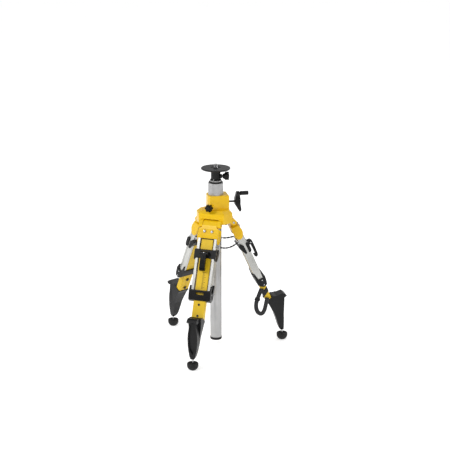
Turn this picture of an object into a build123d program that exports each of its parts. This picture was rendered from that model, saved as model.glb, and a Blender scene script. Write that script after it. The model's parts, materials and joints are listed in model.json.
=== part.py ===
from build123d import *

import os
from math import acos, cos, pi, radians, sin, tan

# A crank-up surveying tripod, in millimetres. The origin is on the floor under the column, +Z is up
# and the front leg points along -Y. An azimuth is measured from the front leg, anticlockwise from above.

# Legs: x is across a leg, y is out of its front face, and a drop is measured down the leg from its hinge.
leg_azimuths = {"front": 0, "right": 120, "left": 240}
leg_tilt = 24
hinge_radius = 66.5
hinge_height = 545
pin_radius = 5
running_gap = 0.05
guide_gap = 0.3

rail_inner = 29
rail_outer = 41
rail_half_depth = 15.5
rail_start = 34
rail_end = 300
rail_groove = 1.2
groove_middle = 6
groove_half_spacing = 1.5
rail_spans = ((-rail_outer, -rail_inner), (rail_inner, rail_outer))

profile_half_width = 25
profile_half_depth = 12.5
profile_wall = 2.4
profile_corner = 2.5
profile_start = 40
profile_end = 386

bracket_half_width = 44
bracket_front = 19
bracket_end = 58
bracket_cheek_end = 80
tongue_half_width = 31
tongue_start = -19
shoulder_start = 13
shoulder_end = 20
rivet_across = 16
rivet_drop = 30
rivet_radius = 5.5
rivet_length = 9
rivet_top = 15.5

crossbar_start = 82
crossbar_end = 94
crossbar_depth = 4.5
eye_across = 44
eye_drop = 88
eye_y = -18.5
eye_radius = 4.2
eye_bore = 2.1

clamp_half_width = 46
clamp_front = 20.5
clamp_start = 103
clamp_end = 139
clamp_cheek_end = 147
lever_pivot_y = 31.5
lever_pivot_drop = 121
lever_hub_radius = 9
lever_half_width = 11
lever_side_gap = 0.5
lever_pin_radius = 3
ear_radius = 7
ear_width = 6

band_start = 270
band_end = 316
band_half_width = 46.5
wing_start = 244
window_half_width = 17
window_start = 279.5
window_end = 288.7

foot_centre = 289
foot_half_width = 27
foot_top = 217
foot_bottom = 43
lip_half_width = 21
lip_bottom = 197
plug_start = 360
plug_gap = 0.1
stud_radius = 4
stud_bottom = 12
stud_top = 60
rubber_radius = 23.2
rubber_height = 29

# Head
hexagon_face = 59
hexagon_corner = 54
casting_bottom = 547
skirt_bottom = 566
skirt_edge = 588
casting_top = 600
casting_slope = 12
lug_radius = 12
lug_outer = 46
lug_top = 562
notch_half_width = 31.5
notch_start = 46
housing_top = 658
housing_left = 36
housing_right = 50
housing_front = 36
housing_back = 50
housing_clearance = 3
pinion_room = 15
sleeve_radius = 31
sleeve_bore = 25
sleeve_bottom = 640
sleeve_top = 708
wiper_radius = 28.7
wiper_top = 713

# Column and plate
column_radius = 24
column_bore = 17.5
column_bottom = 36
column_top = 718
flute_count = 16
neck_radius = 20
neck_top = 763
spindle_radius = 12
spindle_bottom = 724
plate_radius = 60
plate_bottom = 763.3
plate_top = 770
screw_radius = 15.875 / 2
screw_top = 785
shank_radius = 6.5
shank_length = 12

# Rack and pinion: the pinion turns behind the column, on the crank's shaft.
gear_module = 2
pinion_teeth = 12
pressure_angle = radians(20)
pitch = pi * gear_module
pitch_radius = gear_module * pinion_teeth / 2
addendum = 0.8 * gear_module
dedendum = 1.1 * gear_module
flank_gap = 0.15
rack_pitch_line = 21.5
rack_half_width = 5
rack_back = 17.5
rack_teeth_below = 61
rack_teeth_above = 3
pinion_half_width = 4.5
pinion_offset = rack_pitch_line + pitch_radius
pinion_height = 615
crank_azimuth = 120
shaft_radius = 4
shaft_bush_radius = 7
left_bush_start = -22
shaft_end = 97
arm_start = 85.4
arm_top = 42
arm_bottom = -46
grip_spindle_radius = 3
grip_radius = 8.7
grip_offset = 33
grip_start = 108.5
grip_end = 143

# Locking knobs
lock_azimuth = -6
lock_height = 614
neck_knob_azimuth = 109
neck_knob_height = 734
knob_screw_radius = 4

# Safety chains and carrying strap
chain_diameter = 6
chain_sag = 10
strap_width = 18
strap_thickness = 2
strap_start = 330

os.makedirs("parts", exist_ok=True)


def outward(azimuth):
    return Vector(sin(radians(azimuth)), -cos(radians(azimuth)), 0)


def across(azimuth):
    return Vector(cos(radians(azimuth)), sin(radians(azimuth)), 0)


def leg_frame(azimuth):
    """Origin on the hinge axis, x across the leg, y out of its front face, z down the leg."""
    origin = outward(azimuth) * hinge_radius + Vector(0, 0, hinge_height)
    down = outward(azimuth) * sin(radians(leg_tilt)) - Vector(0, 0, cos(radians(leg_tilt)))
    return Plane(origin=origin, x_dir=across(azimuth), z_dir=down)


def leg_side(azimuth, offset=0):
    """Seen along the hinge axis: x out of the leg's front face, y down the leg, z across it."""
    frame = leg_frame(azimuth)
    return Plane(origin=frame.origin + frame.x_dir * offset, x_dir=frame.y_dir, z_dir=frame.x_dir)


def upright_side(azimuth, offset=0):
    """The upright plane of this azimuth, moved across by the offset: x outward, y up."""
    return Plane(origin=across(azimuth) * offset, x_dir=outward(azimuth), z_dir=-across(azimuth))


def facing(azimuth, radius=0, height=0, offset=0):
    """An upright plane that faces out at this azimuth: x across, y up, z outward."""
    origin = outward(azimuth) * radius + across(azimuth) * offset + Vector(0, 0, height)
    return Plane(origin=origin, x_dir=across(azimuth), z_dir=outward(azimuth))


def block(x_range, y_range, z_range, mode=Mode.ADD):
    """A box between two corners, in the frame of the part being built."""
    low, high = Vector(x_range[0], y_range[0], z_range[0]), Vector(x_range[1], y_range[1], z_range[1])
    size = high - low
    with Locations((low + high) / 2):
        Box(size.X, size.Y, size.Z, mode=mode)


def both_ways(half):
    return (-half, half)


# ------------------------------------------------------------------ legs


def bracket_rivet_pair(mode=Mode.ADD):
    """The shanks and heads of two rivets through the bracket's front plate."""
    with Locations((-rivet_across, rivet_top, rivet_drop), (rivet_across, rivet_top, rivet_drop)):
        Cylinder(rivet_radius, rivet_length, rotation=(90, 0, 0), mode=mode)


def make_bracket(side, azimuth):
    """The cast shoulder: a tongue between the head's lugs, over a cap that holds the tops of the rails."""
    with BuildPart(leg_frame(azimuth)) as bracket:
        with BuildSketch(leg_side(azimuth)):
            with BuildLine():
                Polyline(
                    (-2, tongue_start),
                    (5, -12),
                    (11.5, 4),
                    (12.5, 19),
                    (bracket_front, 43),
                    (bracket_front - 1, 55),
                    (14, 64),
                    (8, 76),
                    (-2, bracket_cheek_end),
                    (-12, 77),
                    (-20, 64),
                    (-21, 18),
                    (-14, 5),
                    (-12, tongue_start),
                    close=True,
                )
            make_face()
            fillet(vertices(), 2)
        extrude(amount=bracket_half_width, both=True)
        frame = leg_frame(azimuth)
        with BuildSketch(Plane(origin=frame.origin, x_dir=frame.x_dir, z_dir=-frame.y_dir)):
            with BuildLine():
                outline = Polyline(
                    (0, tongue_start),
                    (tongue_half_width - 3, tongue_start),
                    (tongue_half_width, tongue_start + 3),
                    (tongue_half_width, shoulder_start),
                    (bracket_half_width, shoulder_end),
                    (bracket_half_width, bracket_cheek_end),
                    (0, bracket_cheek_end),
                )
                mirror(outline, about=Plane.YZ)
            make_face()
        extrude(amount=2 * bracket_half_width, both=True, mode=Mode.INTERSECT)
        for span in rail_spans:
            block(span, both_ways(rail_half_depth), (rail_start, rail_end), Mode.SUBTRACT)
        behind_plate = (-bracket_half_width, rail_half_depth)
        block(both_ways(rail_inner), behind_plate, (profile_start - 2, profile_end), Mode.SUBTRACT)
        block(both_ways(rail_outer), (0, bracket_half_width), (bracket_end, profile_end), Mode.SUBTRACT)
        with BuildSketch(leg_side(azimuth)):
            Circle(pin_radius)
        extrude(amount=lug_outer, both=True, mode=Mode.SUBTRACT)
        bracket_rivet_pair(Mode.SUBTRACT)
    bracket.part.label = f"bracket_{side}"
    export_step(bracket.part, f"parts/bracket_{side}.step")


def make_hinge_pin(side, azimuth):
    with BuildPart() as hinge_pin:
        with BuildSketch(leg_side(azimuth)):
            Circle(pin_radius)
        extrude(amount=lug_outer, both=True)
        chamfer(hinge_pin.edges().filter_by(GeomType.CIRCLE), 0.8)
    hinge_pin.part.label = f"hinge_pin_{side}"
    export_step(hinge_pin.part, f"parts/hinge_pin_{side}.step")


def make_bracket_rivets(side, azimuth):
    """Two rivets that fill their holes in the front of the bracket."""
    with BuildPart(leg_frame(azimuth)) as rivets:
        bracket_rivet_pair()
        chamfer(rivets.edges().filter_by(GeomType.CIRCLE), 1)
    rivets.part.label = f"bracket_rivets_{side}"
    export_step(rivets.part, f"parts/bracket_rivets_{side}.step")


def make_rails(side, azimuth):
    """The two extruded rails of the upper leg, each with a pair of grooves down its flank."""
    middle = (rail_inner + rail_outer) / 2
    grooves = [groove_middle - groove_half_spacing, groove_middle + groove_half_spacing]
    with BuildPart() as rails:
        with BuildSketch(leg_frame(azimuth).offset(rail_start)):
            with Locations((-middle, 0), (middle, 0)):
                RectangleRounded(rail_outer - rail_inner, 2 * rail_half_depth, 1.5)
            with Locations([(flank, groove) for flank in (-rail_outer, rail_outer) for groove in grooves]):
                Rectangle(2 * rail_groove, 1, mode=Mode.SUBTRACT)
        extrude(amount=rail_end - rail_start)
    rails.part.label = f"rails_{side}"
    export_step(rails.part, f"parts/rails_{side}.step")


def make_crossbar(side, azimuth):
    """A flat bar behind the rails, with an eye at each end for a safety chain."""
    back = -rail_half_depth
    with BuildPart(leg_frame(azimuth)) as crossbar:
        block(both_ways(rail_outer), (back - crossbar_depth, back), (crossbar_start, crossbar_end))
        with Locations((-eye_across, eye_y, eye_drop), (eye_across, eye_y, eye_drop)):
            Cylinder(eye_radius, 3)
            Cylinder(eye_bore, 4, mode=Mode.SUBTRACT)
    crossbar.part.label = f"crossbar_{side}"
    export_step(crossbar.part, f"parts/crossbar_{side}.step")


def make_clamp_body(side, azimuth):
    """The clamp's two halves: a front band with the lever's ears, and a raked saddle behind the rails."""
    with BuildPart(leg_frame(azimuth)) as clamp:
        with BuildSketch(leg_side(azimuth)):
            with BuildLine():
                Polyline(
                    (9, clamp_start + 2),
                    (16, clamp_start),
                    (clamp_front, clamp_start + 3),
                    (clamp_front, clamp_end),
                    (16, clamp_cheek_end),
                    (7, clamp_cheek_end),
                    (7, clamp_start + 8),
                    close=True,
                )
            make_face()
            with BuildLine():
                Polyline(
                    (-14.5, 97),
                    (-25.5, 108),
                    (-23, 118),
                    (-8.7, clamp_cheek_end + 1),
                    (-1.4, clamp_cheek_end - 2),
                    (-3, 111),
                    close=True,
                )
            make_face()
            fillet(vertices(), 1.2)
        extrude(amount=clamp_half_width, both=True)
        block(both_ways(rail_outer), both_ways(rail_half_depth), (0, profile_end), Mode.SUBTRACT)
        block(both_ways(rail_outer), (0, bracket_half_width), (clamp_end, profile_end), Mode.SUBTRACT)
        for start in (-lever_half_width - lever_side_gap - ear_width, lever_half_width + lever_side_gap):
            with BuildSketch(leg_side(azimuth, start)):
                with Locations((lever_pivot_y, lever_pivot_drop)):
                    Circle(ear_radius)
                with Locations(((lever_pivot_y + rail_half_depth) / 2, lever_pivot_drop)):
                    Rectangle(lever_pivot_y - rail_half_depth, 2 * ear_radius)
            extrude(amount=ear_width)
        with BuildSketch(leg_side(azimuth)):
            with Locations((lever_pivot_y, lever_pivot_drop)):
                Circle(lever_pin_radius)
        extrude(amount=clamp_half_width / 2, both=True, mode=Mode.SUBTRACT)
    clamp.part.label = f"clamp_body_{side}"
    export_step(clamp.part, f"parts/clamp_body_{side}.step")


def make_lever_pin(side, azimuth):
    with BuildPart() as lever_pin:
        with BuildSketch(leg_side(azimuth)):
            with Locations((lever_pivot_y, lever_pivot_drop)):
                Circle(lever_pin_radius)
        extrude(amount=lever_half_width + lever_side_gap + ear_width, both=True)
    lever_pin.part.label = f"lever_pin_{side}"
    export_step(lever_pin.part, f"parts/lever_pin_{side}.step")


def make_clamp_lever(side, azimuth):
    """The lever: a round hub on its pin, a deep arm, and an end that hooks back toward the leg."""
    y, drop = lever_pivot_y, lever_pivot_drop
    with BuildPart() as lever:
        with BuildSketch(leg_side(azimuth)):
            with BuildLine():
                Polyline(
                    (y + lever_hub_radius, drop),
                    (y + 9.5, drop + 29),
                    (y + 8.5, drop + 60),
                    (y + 5, drop + 69),
                    (y - 1.5, drop + 72),
                    (y - 7.5, drop + 67),
                    (y - 9, drop + 60),
                    (y - 6, drop + 58.5),
                    (y - 2, drop + 61),
                    (y - 1.5, drop + 45),
                    (y - 3, drop + 8),
                    (y, drop - 1),
                    close=True,
                )
            make_face()
            fillet(vertices().sort_by(Axis(leg_frame(azimuth).origin, leg_frame(azimuth).z_dir))[-8:], 1)
            with Locations((y, drop)):
                Circle(lever_hub_radius)
                Circle(lever_pin_radius + running_gap, mode=Mode.SUBTRACT)
        extrude(amount=lever_half_width, both=True)
    lever.part.label = f"clamp_lever_{side}"
    export_step(lever.part, f"parts/clamp_lever_{side}.step")


def make_lower_band(side, azimuth):
    """The casting that holds the rails' lower ends and guides the inner profile. Wings clasp the rails."""
    with BuildPart(leg_frame(azimuth)) as band:
        with BuildSketch(leg_side(azimuth)):
            with BuildLine():
                Polyline(
                    (18, wing_start + 8),
                    (25, band_start + 4),
                    (22, 298),
                    (18.5, 311),
                    (2, band_end),
                    (-9, 308),
                    (-18, 299),
                    (-19, 280),
                    (-17.5, wing_start),
                    (-13, wing_start),
                    (-5, band_start + 8),
                    (14, band_start + 8),
                    (15.5, wing_start + 8),
                    close=True,
                )
            make_face()
        extrude(amount=band_half_width, both=True)
        block(both_ways(rail_outer), (-13, 15), (band_start, band_start + 10))
        block(both_ways(rail_outer), both_ways(band_half_width), (wing_start - 1, band_start), Mode.SUBTRACT)
        for span in rail_spans:
            block(span, both_ways(rail_half_depth), (wing_start - 1, rail_end), Mode.SUBTRACT)
        guide = both_ways(profile_half_width + guide_gap), both_ways(profile_half_depth + guide_gap)
        block(*guide, (wing_start, band_end + 1), Mode.SUBTRACT)
        window = (window_start, window_end)
        block(both_ways(window_half_width), (0, band_half_width), window, Mode.SUBTRACT)
    band.part.label = f"lower_band_{side}"
    export_step(band.part, f"parts/lower_band_{side}.step")


def make_inner_profile(side, azimuth):
    """The hollow profile that slides between the rails and carries the foot."""
    width, depth = 2 * profile_half_width, 2 * profile_half_depth
    with BuildPart() as profile:
        with BuildSketch(leg_frame(azimuth).offset(profile_start)):
            RectangleRounded(width, depth, profile_corner)
            RectangleRounded(width - 2 * profile_wall, depth - 2 * profile_wall, 1, mode=Mode.SUBTRACT)
        extrude(amount=profile_end - profile_start)
    profile.part.label = f"inner_profile_{side}"
    export_step(profile.part, f"parts/inner_profile_{side}.step")


def make_foot(side, azimuth):
    """The pointed foot: a plug in the profile, a lipped tread in front, and a tip over the rubber pad."""
    tip = foot_centre
    plug_half_width = profile_half_width - profile_wall - plug_gap
    plug_half_depth = profile_half_depth - profile_wall - plug_gap
    with BuildPart(leg_frame(azimuth)) as foot:
        with BuildSketch(upright_side(azimuth)):
            with BuildLine():
                Polyline(
                    (tip - 49, 206),
                    (tip - 34, 206.5),
                    (tip - 22, 211),
                    (tip - 4, foot_top),
                    (tip + 5, 212),
                    (tip + 13, 204),
                    (tip + 2, lip_bottom - 1),
                    (tip + 2, 120),
                    (tip + 4.5, 58),
                    (tip + 5, foot_bottom + 2),
                    (tip - 6, foot_bottom),
                    (tip - 14, 51),
                    (tip - 20, 64),
                    (tip - 27, 88),
                    (tip - 37, 118),
                    (tip - 49, 142),
                    (tip - 64, 169),
                    (tip - 76, 183),
                    close=True,
                )
            make_face()
        extrude(amount=foot_half_width, both=True)
        with BuildSketch(facing(azimuth)):
            with BuildLine():
                outline = Polyline(
                    (0, foot_top),
                    (foot_half_width, foot_top),
                    (foot_half_width, 185),
                    (foot_half_width - 2, 160),
                    (lip_half_width, 126),
                    (lip_half_width - 1, 102),
                    (lip_half_width - 4, 79),
                    (lip_half_width - 9, 54),
                    (stud_radius + 2, foot_bottom),
                    (0, foot_bottom),
                )
                mirror(outline, about=Plane.YZ)
            make_face()
        extrude(amount=tip + 20, mode=Mode.INTERSECT)
        with BuildSketch(facing(azimuth, tip - 26)):
            with BuildLine():
                shoulder = Polyline(
                    (lip_half_width, foot_top + 1),
                    (lip_half_width, lip_bottom),
                    (lip_half_width - 7, lip_bottom),
                    (lip_half_width - 5, 173),
                    (lip_half_width - 1, 148),
                    (lip_half_width, 128),
                    (foot_half_width + 1, 128),
                    (foot_half_width + 1, foot_top + 1),
                    close=True,
                )
            make_face()
            mirror(about=Plane(facing(azimuth).origin, z_dir=across(azimuth)))
        extrude(amount=50, mode=Mode.SUBTRACT)
        with BuildSketch(facing(azimuth, tip + 10)):
            with BuildLine():
                recess = Polyline(
                    (0, 190),
                    (lip_half_width - 12, 190),
                    (lip_half_width - 10, 173),
                    (lip_half_width - 6, 148),
                    (lip_half_width - 6, 120),
                    (lip_half_width - 9, 86),
                    (0, 64),
                )
                mirror(recess, about=Plane.YZ)
            make_face()
        extrude(amount=-13, mode=Mode.SUBTRACT)
        with BuildSketch(leg_frame(azimuth).offset(profile_end)):
            RectangleRounded(2 * profile_half_width, 2 * profile_half_depth, profile_corner)
        extrude(amount=-60, mode=Mode.SUBTRACT)
        block(both_ways(plug_half_width), both_ways(plug_half_depth), (plug_start, profile_end + 2))
        with BuildSketch(Plane.XY.offset(foot_bottom)):
            with Locations(outward(azimuth) * tip):
                Circle(stud_radius)
        extrude(amount=stud_top - foot_bottom, mode=Mode.SUBTRACT)
    foot.part.label = f"foot_{side}"
    export_step(foot.part, f"parts/foot_{side}.step")


def make_foot_stud(side, azimuth):
    with BuildPart() as stud:
        with BuildSketch(Plane.XY.offset(stud_bottom)):
            with Locations(outward(azimuth) * foot_centre):
                Circle(stud_radius)
        extrude(amount=stud_top - stud_bottom)
    stud.part.label = f"foot_stud_{side}"
    export_step(stud.part, f"parts/foot_stud_{side}.step")


def make_rubber_foot(side, azimuth):
    """A turned rubber pad: flat tread, rounded flank, dished top, and a blind hole for the stud."""
    seat = Plane(origin=outward(azimuth) * foot_centre, x_dir=outward(azimuth), z_dir=-across(azimuth))
    hole = stud_radius + running_gap
    with BuildPart() as rubber:
        with BuildSketch(seat):
            with BuildLine():
                Line((0, 0), (11, 0))
                ThreePointArc((11, 0), (19, 6.5), (rubber_radius, 17))
                Line((rubber_radius, 17), (rubber_radius, rubber_height - 3))
                RadiusArc((rubber_radius, rubber_height - 3), (rubber_radius - 3, rubber_height), -3)
                Polyline(
                    (rubber_radius - 3, rubber_height),
                    (rubber_radius - 7, rubber_height),
                    (10, rubber_height - 5),
                    (hole, rubber_height - 5),
                    (hole, stud_bottom - running_gap),
                    (0, stud_bottom - running_gap),
                    (0, 0),
                )
            make_face()
        revolve(axis=Axis(seat.origin, (0, 0, 1)))
    rubber.part.label = f"rubber_foot_{side}"
    export_step(rubber.part, f"parts/rubber_foot_{side}.step")


for side, azimuth in leg_azimuths.items():
    make_bracket(side, azimuth)
    make_hinge_pin(side, azimuth)
    make_bracket_rivets(side, azimuth)
    make_rails(side, azimuth)
    make_crossbar(side, azimuth)
    make_clamp_body(side, azimuth)
    make_lever_pin(side, azimuth)
    make_clamp_lever(side, azimuth)
    make_lower_band(side, azimuth)
    make_inner_profile(side, azimuth)
    make_foot(side, azimuth)
    make_foot_stud(side, azimuth)
    make_rubber_foot(side, azimuth)


# ------------------------------------------------------------------ head


def hexagon(inset=0):
    """The six corners of the head casting, its longer faces square to the legs."""
    corners = []
    for azimuth in leg_azimuths.values():
        for reach in (-hexagon_corner, hexagon_corner):
            corner = outward(azimuth) * hexagon_face + across(azimuth) * reach
            corners.append((corner.X, corner.Y))
    scale = 1 - inset / hexagon_face
    return [(x * scale, y * scale) for x, y in corners]


# The head casting: a hexagonal skirt over three notches, with a pair of hinge lugs beside each notch.
with BuildPart() as head_casting:
    with BuildSketch(Plane.XY.offset(casting_bottom)):
        Polygon(*hexagon(), align=None)
        fillet(vertices(), 5)
    extrude(amount=skirt_edge - casting_bottom)
    with BuildSketch(Plane.XY.offset(skirt_edge)):
        Polygon(*hexagon(), align=None)
        fillet(vertices(), 5)
    with BuildSketch(Plane.XY.offset(casting_top)):
        Polygon(*hexagon(casting_slope), align=None)
        fillet(vertices(), 4)
    loft()
    for azimuth in leg_azimuths.values():
        with BuildSketch(upright_side(azimuth)):
            with Locations((hinge_radius, hinge_height)):
                Circle(lug_radius)
            with BuildLine():
                Polyline(
                    (notch_start, lug_top),
                    (hinge_radius, lug_top),
                    (hinge_radius + lug_radius, hinge_height + 5),
                    (hinge_radius + lug_radius, hinge_height),
                    (hinge_radius - lug_radius, hinge_height),
                    (notch_start, casting_bottom),
                    close=True,
                )
            make_face()
        extrude(amount=lug_outer, both=True)
    for azimuth in leg_azimuths.values():
        with BuildSketch(upright_side(azimuth)):
            with Locations((notch_start, casting_bottom - 20)):
                Rectangle(hexagon_face, skirt_bottom - casting_bottom + 20, align=(Align.MIN, Align.MIN))
        extrude(amount=notch_half_width, both=True, mode=Mode.SUBTRACT)
        with BuildSketch(upright_side(azimuth)):
            with Locations((hinge_radius, hinge_height)):
                Circle(pin_radius + running_gap)
        extrude(amount=lug_outer + 6, both=True, mode=Mode.SUBTRACT)
    with BuildSketch(Plane.XY.offset(casting_bottom)):
        Circle(34)
    extrude(amount=skirt_bottom - casting_bottom, mode=Mode.SUBTRACT)
    with BuildSketch(Plane.XY.offset(casting_bottom)):
        Circle(column_radius + running_gap)
    extrude(amount=casting_top - casting_bottom, mode=Mode.SUBTRACT)
head_casting.part.label = "head_casting"
export_step(head_casting.part, "parts/head_casting.step")

# Cap screws up into the corners of the casting, between the legs.
with BuildPart() as casting_screws:
    with BuildSketch(Plane.XY.offset(casting_bottom)):
        with PolarLocations(62, 3, start_angle=-30):
            RegularPolygon(6.5, 6)
    extrude(amount=-6)
casting_screws.part.label = "casting_screws"
export_step(casting_screws.part, "parts/casting_screws.step")

crank_direction = outward(crank_azimuth)
rack_direction = across(crank_azimuth)
gear_plan = Plane(origin=(0, 0, casting_top), x_dir=crank_direction, z_dir=(0, 0, 1))
pinion_centre = rack_direction * pinion_offset + Vector(0, 0, pinion_height)


def shaft_plane(start, height=0):
    """Square to the crank's shaft, this far along it: x away from the column, y up."""
    origin = pinion_centre + crank_direction * start + Vector(0, 0, height)
    return Plane(origin=origin, x_dir=rack_direction, z_dir=crank_direction)


def turned(start, end, radius, height=0, mode=Mode.ADD):
    """A round length between two stations on the crank's shaft."""
    with Locations(shaft_plane(start, height)):
        Cylinder(radius, end - start, align=(Align.CENTER, Align.CENTER, Align.MIN), mode=mode)


# The gear housing stands on the casting. It is flat in front, and deep enough behind for the pinion, where
# its top falls away.
with BuildPart() as gear_housing:
    with BuildSketch(gear_plan):
        with BuildLine():
            Polyline(
                (housing_right, -housing_front),
                (housing_right, housing_back),
                (16 - housing_left, housing_back),
                (-housing_left, housing_back - 25),
                (-housing_left, 18 - housing_front),
                (6 - housing_left, -housing_front),
                close=True,
            )
        make_face()
        fillet(vertices().sort_by(Axis((0, 0, 0), rack_direction))[-2:], 15)
        fillet(vertices().sort_by(Axis((0, 0, 0), rack_direction))[:4], 4)
    extrude(amount=housing_top - casting_top)
    fillet(gear_housing.faces().sort_by(Axis.Z)[-1].edges(), 3)
    turned(housing_right - 2, housing_right + 7, 12)
    with BuildSketch(facing(lock_azimuth, 30, lock_height)):
        Circle(11)
    extrude(amount=26)
    with BuildSketch(Plane(origin=(0, 0, 0), x_dir=rack_direction, z_dir=crank_direction)):
        with BuildLine():
            Polyline(
                (housing_back - 15, housing_top + 1),
                (housing_back + 1, housing_top - 17),
                (housing_back + 1, housing_top + 1),
                close=True,
            )
        make_face()
    extrude(amount=housing_right + 1, both=True, mode=Mode.SUBTRACT)
    with BuildSketch(Plane.XY.offset(casting_top)):
        Circle(column_radius + housing_clearance)
    extrude(amount=housing_top - casting_top, mode=Mode.SUBTRACT)
    with BuildSketch(Plane.XY.offset(sleeve_bottom)):
        Circle(sleeve_radius)
    extrude(amount=housing_top - sleeve_bottom, mode=Mode.SUBTRACT)
    cavity_half_width = pinion_half_width + housing_clearance
    turned(-cavity_half_width, cavity_half_width, pinion_room, mode=Mode.SUBTRACT)
    with BuildSketch(gear_plan):
        with Locations((0, pinion_offset / 2)):
            Rectangle(2 * cavity_half_width, pinion_offset)
    extrude(amount=pinion_height + pinion_room - casting_top, mode=Mode.SUBTRACT)
    turned(left_bush_start, housing_right + 8, shaft_bush_radius, mode=Mode.SUBTRACT)
    with BuildSketch(facing(lock_azimuth, 20, lock_height)):
        Circle(knob_screw_radius + running_gap)
    extrude(amount=40, mode=Mode.SUBTRACT)
gear_housing.part.label = "gear_housing"
export_step(gear_housing.part, "parts/gear_housing.step")

# Bronze bushes for the crank's shaft, one in each wall of the housing.
with BuildPart() as shaft_bushes:
    for start, end in ((left_bush_start, -8), (36, housing_right + 7)):
        turned(start, end, shaft_bush_radius)
        turned(start - 1, end + 1, shaft_radius + running_gap, mode=Mode.SUBTRACT)
shaft_bushes.part.label = "shaft_bushes"
export_step(shaft_bushes.part, "parts/shaft_bushes.step")

with BuildPart() as column_sleeve:
    with BuildSketch(Plane.XY.offset(sleeve_bottom)):
        Circle(sleeve_radius)
        Circle(sleeve_bore, mode=Mode.SUBTRACT)
    extrude(amount=sleeve_top - sleeve_bottom)
    chamfer(column_sleeve.edges().group_by(Axis.Z)[-1].sort_by(SortBy.LENGTH)[-1], 1)
column_sleeve.part.label = "column_sleeve"
export_step(column_sleeve.part, "parts/column_sleeve.step")

# The wiper ring sits on the sleeve, and its spigot is the column's upper bearing.
with BuildPart() as wiper_ring:
    with BuildSketch(Plane.XY.offset(sleeve_top)):
        Circle(wiper_radius)
    extrude(amount=wiper_top - sleeve_top)
    with BuildSketch(Plane.XY.offset(sleeve_top)):
        Circle(sleeve_bore)
    extrude(amount=-25)
    with BuildSketch(Plane.XY.offset(sleeve_top - 25)):
        Circle(column_radius + running_gap)
    extrude(amount=wiper_top - sleeve_top + 25, mode=Mode.SUBTRACT)
    chamfer(wiper_ring.edges().group_by(Axis.Z)[-1].sort_by(SortBy.LENGTH)[-1], 1)
wiper_ring.part.label = "wiper_ring"
export_step(wiper_ring.part, "parts/wiper_ring.step")

# ------------------------------------------------------------------ column

rack_bottom = pinion_height - rack_teeth_below * pitch
rack_top = pinion_height + rack_teeth_above * pitch

with BuildPart() as column_tube:
    with BuildSketch(Plane.XY.offset(column_bottom)):
        Circle(column_radius)
        Circle(column_bore, mode=Mode.SUBTRACT)
        with PolarLocations(column_radius + 0.5, flute_count, start_angle=-30 + 180 / flute_count):
            Circle(1, mode=Mode.SUBTRACT)
    extrude(amount=column_top - column_bottom)
    with BuildSketch(gear_plan.offset(rack_bottom - casting_top)):
        with Locations((0, column_radius)):
            Rectangle(2 * rack_half_width, 2 * column_radius)
    extrude(amount=rack_top - rack_bottom, mode=Mode.SUBTRACT)
column_tube.part.label = "column_tube"
export_step(column_tube.part, "parts/column_tube.step")


def rack_outline():
    """Straight-sided teeth from bottom to top, with a gap level with the pinion's centre."""
    root, crest = rack_pitch_line - dedendum, rack_pitch_line + addendum
    at_pitch = pitch / 4 - flank_gap
    at_root, at_crest = at_pitch + dedendum * tan(pressure_angle), at_pitch - addendum * tan(pressure_angle)
    points = [(rack_back, rack_bottom), (root, rack_bottom)]
    for tooth in range(-rack_teeth_below, rack_teeth_above):
        middle = pinion_height + (tooth + 0.5) * pitch
        points += [(root, middle - at_root), (crest, middle - at_crest)]
        points += [(crest, middle + at_crest), (root, middle + at_root)]
    return points + [(root, rack_top), (rack_back, rack_top)]


with BuildPart() as column_rack:
    with BuildSketch(Plane(origin=(0, 0, 0), x_dir=rack_direction, z_dir=crank_direction)):
        with BuildLine():
            Polyline(*rack_outline(), close=True)
        make_face()
    extrude(amount=rack_half_width, both=True)
column_rack.part.label = "column_rack"
export_step(column_rack.part, "parts/column_rack.step")

with BuildPart() as column_cap:
    with BuildSketch(Plane.XY.offset(column_bottom)):
        Circle(column_radius + 1)
    extrude(amount=-11)
    with BuildSketch(Plane.XY.offset(column_bottom)):
        Circle(column_bore)
    extrude(amount=14)
    fillet(column_cap.edges().group_by(Axis.Z)[0], 2.5)
column_cap.part.label = "column_cap"
export_step(column_cap.part, "parts/column_cap.step")

# The neck plugs into the column and carries the plate's spindle and its locking knob.
with BuildPart() as column_neck:
    with BuildSketch(Plane.XY.offset(column_top)):
        Circle(column_radius)
    with BuildSketch(Plane.XY.offset(column_top + 7)):
        Circle(neck_radius)
    loft()
    with BuildSketch(Plane.XY.offset(column_top + 7)):
        RegularPolygon(neck_radius, 12)
    extrude(amount=neck_top - column_top - 7)
    with BuildSketch(Plane.XY.offset(column_top)):
        Circle(column_bore)
    extrude(amount=-22)
    with BuildSketch(facing(neck_knob_azimuth, 14, neck_knob_height)):
        Circle(9)
    extrude(amount=12)
    with BuildSketch(Plane.XY.offset(spindle_bottom)):
        Circle(spindle_radius + running_gap)
    extrude(amount=neck_top - spindle_bottom, mode=Mode.SUBTRACT)
    with BuildSketch(facing(neck_knob_azimuth, 8, neck_knob_height)):
        Circle(knob_screw_radius + running_gap)
    extrude(amount=20, mode=Mode.SUBTRACT)
column_neck.part.label = "column_neck"
export_step(column_neck.part, "parts/column_neck.step")

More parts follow.
